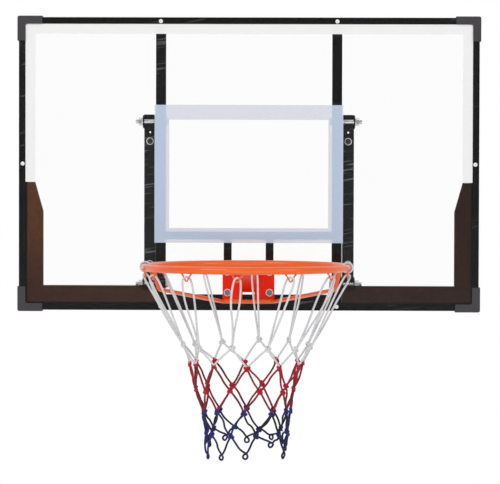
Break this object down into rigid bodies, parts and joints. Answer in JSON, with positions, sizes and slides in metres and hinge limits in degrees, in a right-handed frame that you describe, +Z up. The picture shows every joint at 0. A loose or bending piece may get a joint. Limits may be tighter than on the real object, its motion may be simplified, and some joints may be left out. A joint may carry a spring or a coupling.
{
  "type": "basketball backboard",
  "caption": "Clear wall-hung basketball backboard with a black tube frame, grey corner caps, a fixed orange rim, a knotted net and bolt-on wall rails.",
  "frame": {"origin": "on the wall plane, midway between the four wall bolts", "axes": "+X to the right seen from the court, +Y into the wall, +Z up"},
  "size_m": [1.1246, 0.734, 1.0325],
  "materials": {
    "clear_sheet": "clear, glossy",
    "white_film": "satin",
    "target_film": "satin, slightly see-through",
    "dark_film": "glossy",
    "frame_black": "powder coat, semi-gloss",
    "cap_grey": "fine grain",
    "rim_orange": "glossy powder coat",
    "plate_red": "glossy powder coat",
    "zinc": "zinc plated",
    "dark_steel": "blackened, slightly oily",
    "net_cord": "braided cord, white above, red and blue below"
  },
  "bodies": {
    "root": {"board_panel": "clear_sheet", "board_screws": "zinc", "border_film": "white_film", "clevis_bolts": "zinc", "clevis_lower_left": "frame_black", "clevis_lower_right": "frame_black", "clevis_nuts": "zinc", "clevis_upper_left": "frame_black", "clevis_upper_right": "frame_black", "clevis_washers": "zinc", "corner_cap_bottom_left": "cap_grey", "corner_cap_bottom_right": "cap_grey", "corner_cap_top_left": "cap_grey", "corner_cap_top_right": "cap_grey", "corner_film_left": "dark_film", "corner_film_right": "dark_film", "crossbar_lower": "frame_black", "crossbar_upper": "frame_black", "frame_bottom": "frame_black", "frame_left": "frame_black", "frame_right": "frame_black", "frame_top": "frame_black", "net": "net_cord", "net_hooks": "rim_orange", "rim_arm": "plate_red", "rim_bolts": "dark_steel", "rim_brace": "rim_orange", "rim_nuts": "zinc", "rim_plate": "plate_red", "rim_ring": "rim_orange", "rim_washers": "zinc", "strut_left": "frame_black", "strut_right": "frame_black", "target_film": "target_film", "upright_left": "frame_black", "upright_right": "frame_black", "wall_bolts": "dark_steel", "wall_rail_left": "frame_black", "wall_rail_right": "frame_black", "wall_washers": "zinc"}
  },
  "joints": []
}
